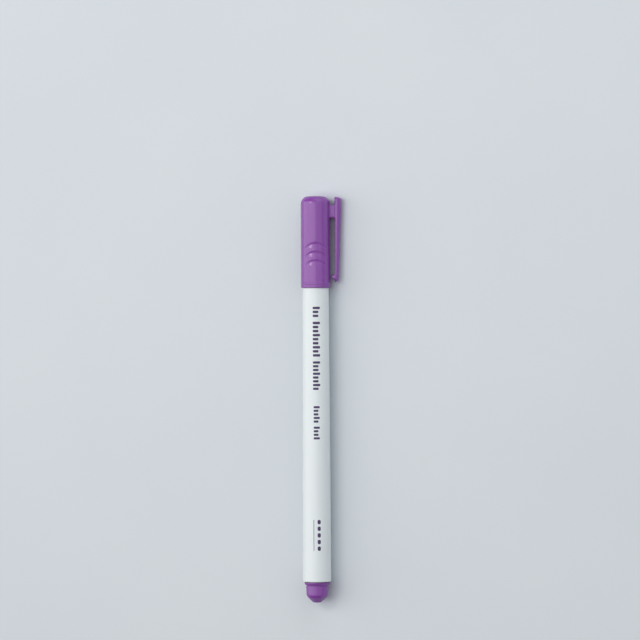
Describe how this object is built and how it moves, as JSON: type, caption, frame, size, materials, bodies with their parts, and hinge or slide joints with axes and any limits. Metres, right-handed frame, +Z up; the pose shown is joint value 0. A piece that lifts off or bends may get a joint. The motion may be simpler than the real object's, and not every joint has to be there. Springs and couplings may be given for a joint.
{
  "type": "fabric marking pen",
  "caption": "Fabric marking pen lying capped: tapered white barrel, violet tail plug, fibre reservoir and fine nib inside, violet pull-off cap with pocket clip and arched thumb grips.",
  "frame": {"origin": "middle of the underside of the capped pen's box, on the surface that the pen lies on", "axes": "+X along the pen towards the cap, +Z up from the surface, and the clip towards -Y, resting its outer corner on the surface"},
  "size_m": [0.1412, 0.0136, 0.0103],
  "materials": {
    "barrel_plastic": "satin white, cool tint",
    "section_plastic": "satin white",
    "violet_plastic": "satin violet, coloured right through",
    "liner_plastic": "natural milky white",
    "sleeve_plastic": "hard white plastic",
    "nib_fibre": "bonded fibre stained with violet ink",
    "wick_fibre": "bonded fibre stained with violet ink",
    "soaked_fibre": "loose bonded fibre soaked with violet ink",
    "wrap_film": "thin plastic film, tinted by the ink behind it",
    "print_ink": "dark violet pad-printed ink on the barrel, with no node of its own"
  },
  "bodies": {
    "pen": {"barrel": "barrel_plastic", "tail_plug": "violet_plastic", "ink_reservoir": "soaked_fibre", "reservoir_wrap": "wrap_film", "feed_wick": "wick_fibre", "front_section": "section_plastic", "nose_piece": "section_plastic", "nib_sleeve": "sleeve_plastic", "nib": "nib_fibre"},
    "liner": {"inner_cap": "liner_plastic"},
    "cap": {"cap_shell": "violet_plastic"},
    "clip": {"clip_arm": "violet_plastic"}
  },
  "joints": [
    {"name": "cap_pull", "type": "slide", "parent": "pen", "child": "liner", "axis": [1, 0, 0], "range_m": [0, 0.03]},
    {"name": "cap_turn", "type": "hinge", "parent": "liner", "child": "cap", "pos_m": [0.03875, 0.00167, 0.00515], "axis": [1, 0, 0], "continuous": true},
    {"name": "clip_flex", "type": "hinge", "parent": "cap", "child": "clip", "pos_m": [0.0626, -0.00506, 0.00195], "axis": [0, -0.4294, 0.9031], "range_deg": [0, 6], "stiffness_Nm_per_rad": 0.05}
  ]
}
